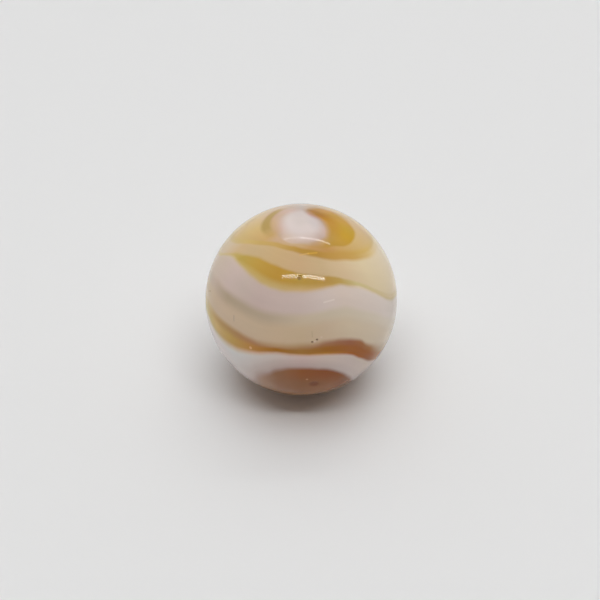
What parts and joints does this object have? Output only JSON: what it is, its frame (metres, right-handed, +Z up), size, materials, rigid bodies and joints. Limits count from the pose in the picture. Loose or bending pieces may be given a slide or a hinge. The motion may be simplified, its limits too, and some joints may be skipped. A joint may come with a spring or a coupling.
{
  "type": "glass marble",
  "caption": "Solid opaque glass playing marble: a true ball of milky white, cream, khaki, amber and brown glass swirled together.",
  "frame": {"origin": "centre of the ball", "axes": "+Z up; the eye and the broad white band of the swirl face -Y"},
  "size_m": [0.016, 0.016, 0.016],
  "materials": {
    "swirled_glass": "opaque milky glass, fire polished, with streams of white, cream, khaki, amber and brown"
  },
  "bodies": {
    "root": {"marble": "swirled_glass"}
  },
  "joints": []
}
